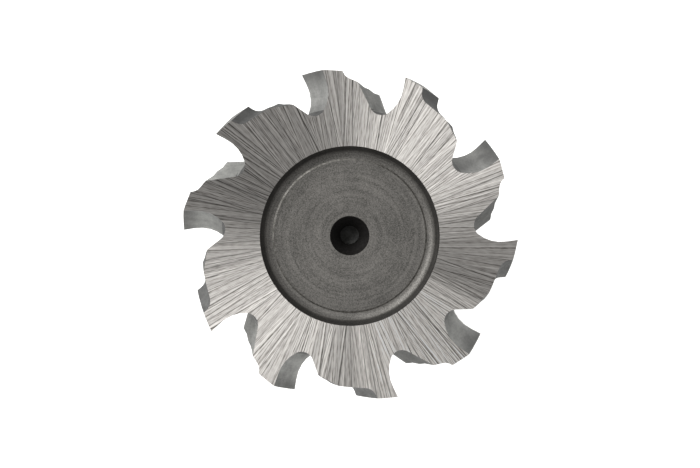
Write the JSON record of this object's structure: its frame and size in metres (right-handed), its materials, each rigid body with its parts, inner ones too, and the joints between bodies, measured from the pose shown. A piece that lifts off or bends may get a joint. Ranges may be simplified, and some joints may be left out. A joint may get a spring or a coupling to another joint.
{
  "type": "slot milling cutter",
  "caption": "Shank-type slot milling cutter with a narrow head of staggered teeth, a shallow recess in its outer face, a slim neck and a plain round shank.",
  "frame": {"origin": "centre of the end face of the shank, on the tool's axis", "axes": "+Z along the tool's axis from the shank to the toothed head, which is how the cutter stands on its shank; +X and +Y are the right and the top of the reference picture, which looks at the outer face of the head"},
  "size_m": [0.0284, 0.0282, 0.071],
  "materials": {
    "steel": "ground bright on the side faces, lands and shank, satin in the gullets, dark oxide in the recess and on the neck"
  },
  "bodies": {
    "root": {"cutter": "steel"}
  },
  "joints": []
}
